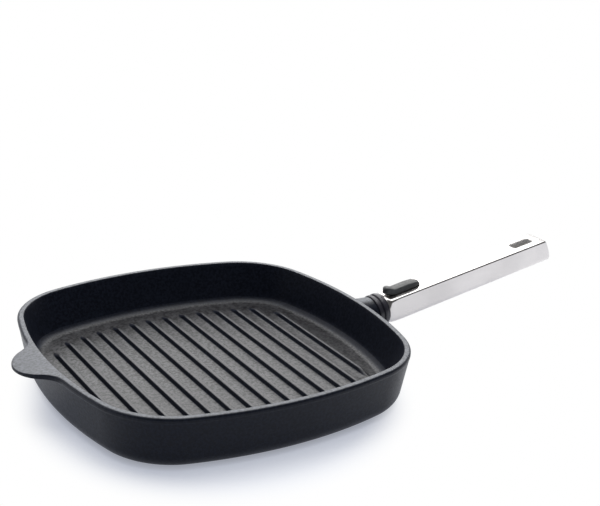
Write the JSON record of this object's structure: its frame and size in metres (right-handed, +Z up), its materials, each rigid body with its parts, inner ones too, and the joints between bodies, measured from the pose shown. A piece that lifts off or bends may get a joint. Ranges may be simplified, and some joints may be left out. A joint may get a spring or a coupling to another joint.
{
  "type": "grill pan",
  "caption": "Square cast grill pan with bowed sides, raised ribs, a helper lip and a tilted steel handle that lifts off by a sprung thumb slider.",
  "frame": {"origin": "centre of the pan's flat underside, on the surface that it stands on", "axes": "+X towards the handle, Y along the grill ribs, +Z up"},
  "size_m": [0.5072, 0.28, 0.0706],
  "materials": {
    "coating": "dark grey non-stick coating with a fine satin grain",
    "guard": "heat-proof moulding, satin",
    "steel": "polished stainless steel",
    "spring": "plain spring steel",
    "moulding": "matte moulding",
    "slider": "matte moulding with a fine grain"
  },
  "bodies": {
    "pan": {"pan_body": "coating", "flame_guard": "guard", "mount_tongue": "steel", "tongue_screw_upper": "steel", "tongue_screw_lower": "steel"},
    "handle": {"handle_shell": "steel", "socket_insert": "moulding", "insert_screw_front": "steel", "insert_screw_rear": "steel", "catch_spring": "spring", "catch_rivet_front": "steel", "catch_rivet_rear": "steel", "return_spring": "spring", "spring_guide": "steel", "hang_liner": "slider", "end_plate": "steel"},
    "slider": {"thumb_slider": "slider", "slider_carriage": "moulding", "slider_screw_front": "steel", "slider_screw_rear": "steel"}
  },
  "joints": [
    {"name": "handle_pull", "type": "slide", "parent": "pan", "child": "handle", "axis": [0.9842, 0, 0.1771], "range_m": [0, 0.07], "deforming": ["catch_spring"]},
    {"name": "slider_slide", "type": "slide", "parent": "handle", "child": "slider", "axis": [0.9842, 0, 0.1771], "range_m": [0, 0.007], "stiffness_N_per_m": 400, "springref_m": -0.0075, "deforming": ["return_spring", "catch_spring"]}
  ]
}
